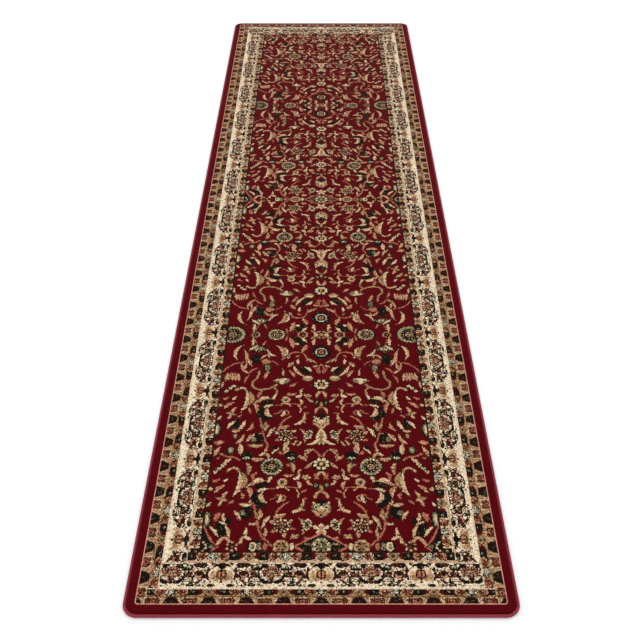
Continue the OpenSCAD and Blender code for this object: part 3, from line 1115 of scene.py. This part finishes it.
def bead_outline():
    """Points along the bead's middle, counterclockwise, each with its outward direction."""
    half_w, half_l, r = RUG[0] - BEAD_R, RUG[1] - BEAD_R, CORNER_R - BEAD_R
    pts = []
    for sx, sy, turn in ((1, 1, 0), (-1, 1, 90), (-1, -1, 180), (1, -1, 270)):
        for t in np.linspace(0, 90, int(r * math.pi / 2 / BEAD_STEP) + 1):
            a = math.radians(turn + t)
            pts.append((sx * (half_w - r) + r * math.cos(a), sy * (half_l - r) + r * math.sin(a),
                        math.cos(a), math.sin(a)))
    out = []
    for p, q in zip(pts, pts[1:] + pts[:1]):
        count = max(1, round(math.dist(p[:2], q[:2]) / BEAD_STEP))
        out += [tuple(a + (b - a) * k / count for a, b in zip(p, q)) for k in range(count)]
    return np.array(out)


def end_strand(loop, index):
    """The bead round one end of the rug, cut square where its stretch ends."""
    y_low, y_high, _ = STRETCHES[index]
    ids = np.flatnonzero((loop[:, 1] >= y_low) & (loop[:, 1] <= y_high))
    gap = np.flatnonzero(np.diff(ids) > 1)
    if len(gap):
        ids = np.roll(ids, -(gap[0] + 1))
    strand = loop[ids]
    cut = strand[[0, -1]]
    cut[:, 1] = y_high if index == 0 else y_low
    return np.concatenate([cut[:1], strand, cut[1:]])


def side_strand(side, y_low, y_high):
    """The straight bead along one side of a stretch."""
    ys = np.linspace(y_low, y_high, round((y_high - y_low) / BEAD_STEP) + 1)
    flat = np.ones_like(ys)
    return np.stack([side * (RUG[0] - BEAD_R) * flat, ys, side * flat, 0 * flat], 1)


def bead_rings(points):
    """Rings round the bead, swollen and grooved by the turns of overlock yarn."""
    xy, out = points[:, :2], points[:, 2:]
    along = np.concatenate([[0], np.cumsum(np.hypot(*np.diff(xy, axis=0).T))])
    ang = np.linspace(0, 2 * math.pi, BEAD_SIDES, endpoint=False)
    wave = np.abs(np.sin(math.pi * along[:, None] / WRAP_PITCH + ang[None, :] * 0.5))
    rad = (BEAD_R - BEAD_CLEAR) * (1 - WRAP_DEPTH + WRAP_DEPTH * wave ** 0.6)
    x = xy[:, None, 0] + out[:, None, 0] * rad * np.cos(ang)
    y = xy[:, None, 1] + out[:, None, 1] * rad * np.cos(ang)
    z = BEAD_R + rad * np.sin(ang)
    return np.stack([x, y, z], 2).reshape(-1, 3), wave.ravel()


def bead_faces(strand):
    """Faces between the rings of a strand and over its two ends, all facing out."""
    count = len(strand)
    ring = np.arange(BEAD_SIDES)
    after = np.roll(ring, -1)
    start = np.arange(count - 1)[:, None] * BEAD_SIDES
    quads = np.stack([start + ring, start + after, start + after + BEAD_SIDES,
                      start + ring + BEAD_SIDES], 2).reshape(-1, 4)
    faces = quads.tolist() + [ring[::-1].tolist(), (ring + (count - 1) * BEAD_SIDES).tolist()]
    (x0, y0, out_x, out_y), (x1, y1, _, _) = strand[0], strand[1]
    clockwise = out_x * (y1 - y0) - out_y * (x1 - x0) > 0
    return [face[::-1] for face in faces] if clockwise else faces


def make_bead(finish):
    loop = bead_outline()
    made = []
    for index, (y_low, y_high, parts) in enumerate(STRETCHES):
        if len(parts) == 1:
            strands = [end_strand(loop, index)]
        else:
            strands = [side_strand(side, y_low, y_high) for side in (-1, 1)]
        built = []
        waves = []
        for strand in strands:
            points, wave = bead_rings(strand)
            built.append((points, bead_faces(strand), None))
            waves.append(wave)
        piece = new_object(f"overlock_{index + 1}", *merged(built), finish)
        # painted shade: the bead's colour is darker in the grooves between the turns of yarn and lighter on
        # the turns
        painted_wrap_shade = 0.62 + 0.48 * np.concatenate(waves) ** 0.5
        paint(piece, np.array(BEAD_RGB) * painted_wrap_shade[:, None], "POINT")
        place(piece, index, ("overlock",))
        made.append(piece)
    return made


# ---- build
pile = make_pile()
# each cloth's second colour is painted shade for the hollows between its ribs
back_finish = cloth_material("back_size", (0.46, 0.36, 0.24), (0.27, 0.19, 0.11), 260.0)
weft_finish = cloth_material("jute_weft", (0.38, 0.26, 0.14), (0.26, 0.17, 0.08), 300.0)
stuffer_finish = plain_yarn_material("stuffer_yarn", (0.62, 0.57, 0.47))
backs = make_cloth("back_size", PILE,
                   ((BACK_CLEAR, BACK_CLEAR + BACK_RISE, BACK_TOP, across_ribs),), back_finish, (8.0, 1.25))
wefts = make_cloth("weft", CLOTH,
                   ((STUFFER_FOOT, STUFFER_FOOT - WEFT_RISE, BACK_TOP, across_ribs),
                    (STUFFER_TOP, STUFFER_TOP + WEFT_RISE, CLOTH_TOP, across_ribs)),
                   weft_finish, (16.0, 1.25))
stuffers = make_cloth("stuffer_warp", CLOTH,
                      ((STUFFER_TOP, STUFFER_TOP - STUFFER_RISE, STUFFER_FOOT, along_ribs),),
                      stuffer_finish, (1.0, 20.0))
beads = make_bead(pile_material("overlock_yarn"))


# ---- floor, light and camera
EYE_BACK = 2.365        # from the rug's middle to the camera, over the floor
EYE_HEIGHT = 1.5465
LOOK_DOWN = 41.25       # degrees


def make_floor():
    bpy.ops.mesh.primitive_plane_add(size=60, location=(0, 8, 0))
    floor = bpy.context.object
    floor.name = "floor"
    made, tree, shader = material("floor")
    wire(tree, shader, {"Base Color": (0.98, 0.98, 0.98, 1), "Roughness": 0.9, "Specular IOR Level": 0.0})
    floor.data.materials.append(made)


def make_light():
    world = bpy.data.worlds.new("studio")
    bpy.context.scene.world = world
    world.use_nodes = True
    tree = world.node_tree
    wire(tree, tree.nodes["Background"], {"Color": (1, 1, 1, 1), "Strength": 0.85})
    lamp = bpy.data.lights.new("overhead", "AREA")
    lamp.shape = "RECTANGLE"
    lamp.size, lamp.size_y = 5.0, 6.0
    lamp.energy = 60
    holder = bpy.data.objects.new("overhead", lamp)
    holder.location = (0.0, 0.6, 4.0)
    bpy.context.scene.collection.objects.link(holder)


def make_camera():
    """A high eye level in front of the near end, looking down along the rug."""
    eye = bpy.data.cameras.new("camera")
    eye.lens = 47.22
    eye.shift_x = -0.0020
    eye.shift_y = 0.00125
    eye.sensor_width = 36
    holder = bpy.data.objects.new("camera", eye)
    holder.location = (0.0, -EYE_BACK, EYE_HEIGHT)
    holder.rotation_euler = (math.radians(90 - LOOK_DOWN), 0, 0)
    bpy.context.scene.collection.objects.link(holder)
    bpy.context.scene.camera = holder


make_floor()
make_light()
make_camera()
bpy.context.scene.view_settings.view_transform = "Standard"
